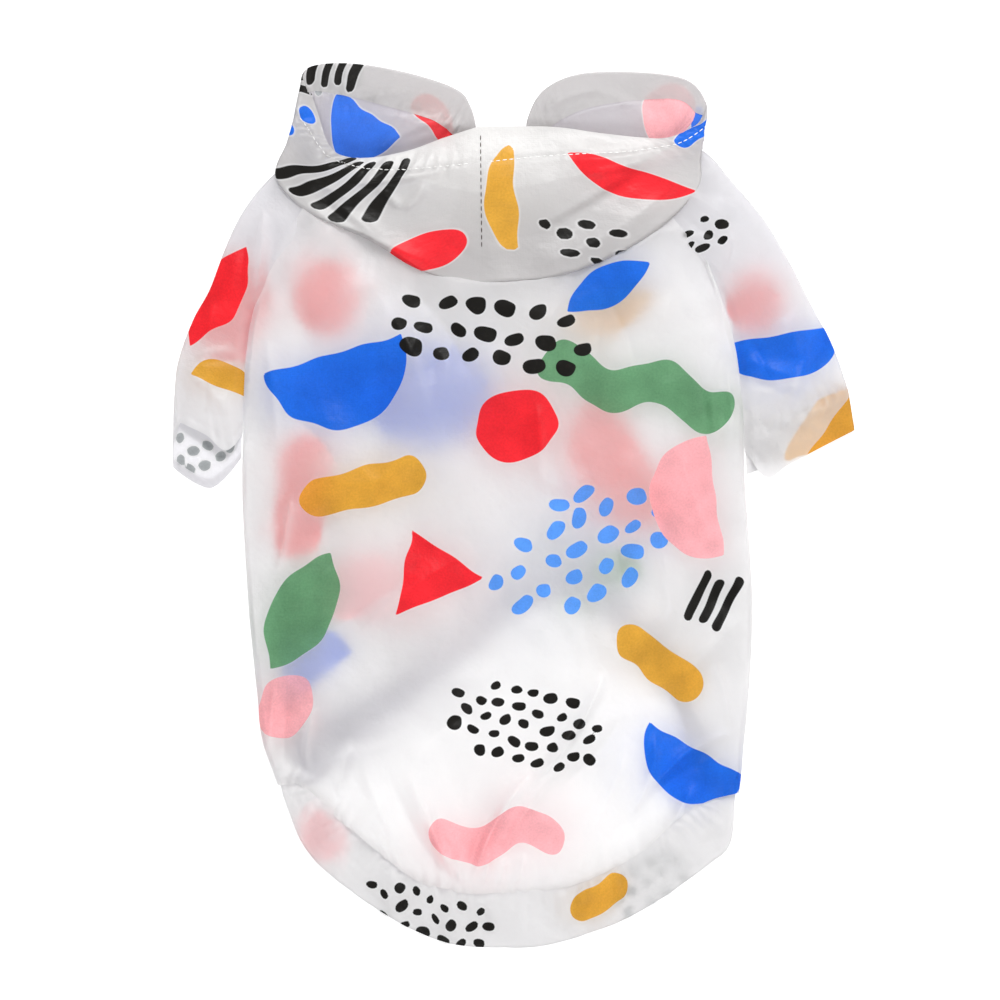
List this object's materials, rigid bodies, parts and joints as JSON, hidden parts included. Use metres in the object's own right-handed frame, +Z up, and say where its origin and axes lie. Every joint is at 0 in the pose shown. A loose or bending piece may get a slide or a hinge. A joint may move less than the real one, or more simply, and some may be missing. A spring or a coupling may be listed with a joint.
{
  "type": "dog sun hoodie",
  "caption": "Short-sleeved dog sun hoodie of thin printed polyester, laid flat on its belly with the back up, the hood pushed back open and a banded curved back hem.",
  "frame": {"origin": "on the surface the garment lies on, under the middle of its bounding box", "axes": "+Z up out of the surface, +Y from the hem to the hood, +X to the garment's right as seen from above with the hood away from the viewer"},
  "size_m": [0.2864, 0.3706, 0.014],
  "materials": {
    "printed_polyester": "thin translucent white plain-weave polyester printed in red, cobalt, green, mustard, pink and black, soft sheen"
  },
  "bodies": {
    "root": {"back_panel": "printed_polyester", "belly_panel": "printed_polyester", "sleeve_left": "printed_polyester", "sleeve_right": "printed_polyester", "hem_band": "printed_polyester", "hood_left": "printed_polyester", "hood_right": "printed_polyester"}
  },
  "joints": []
}
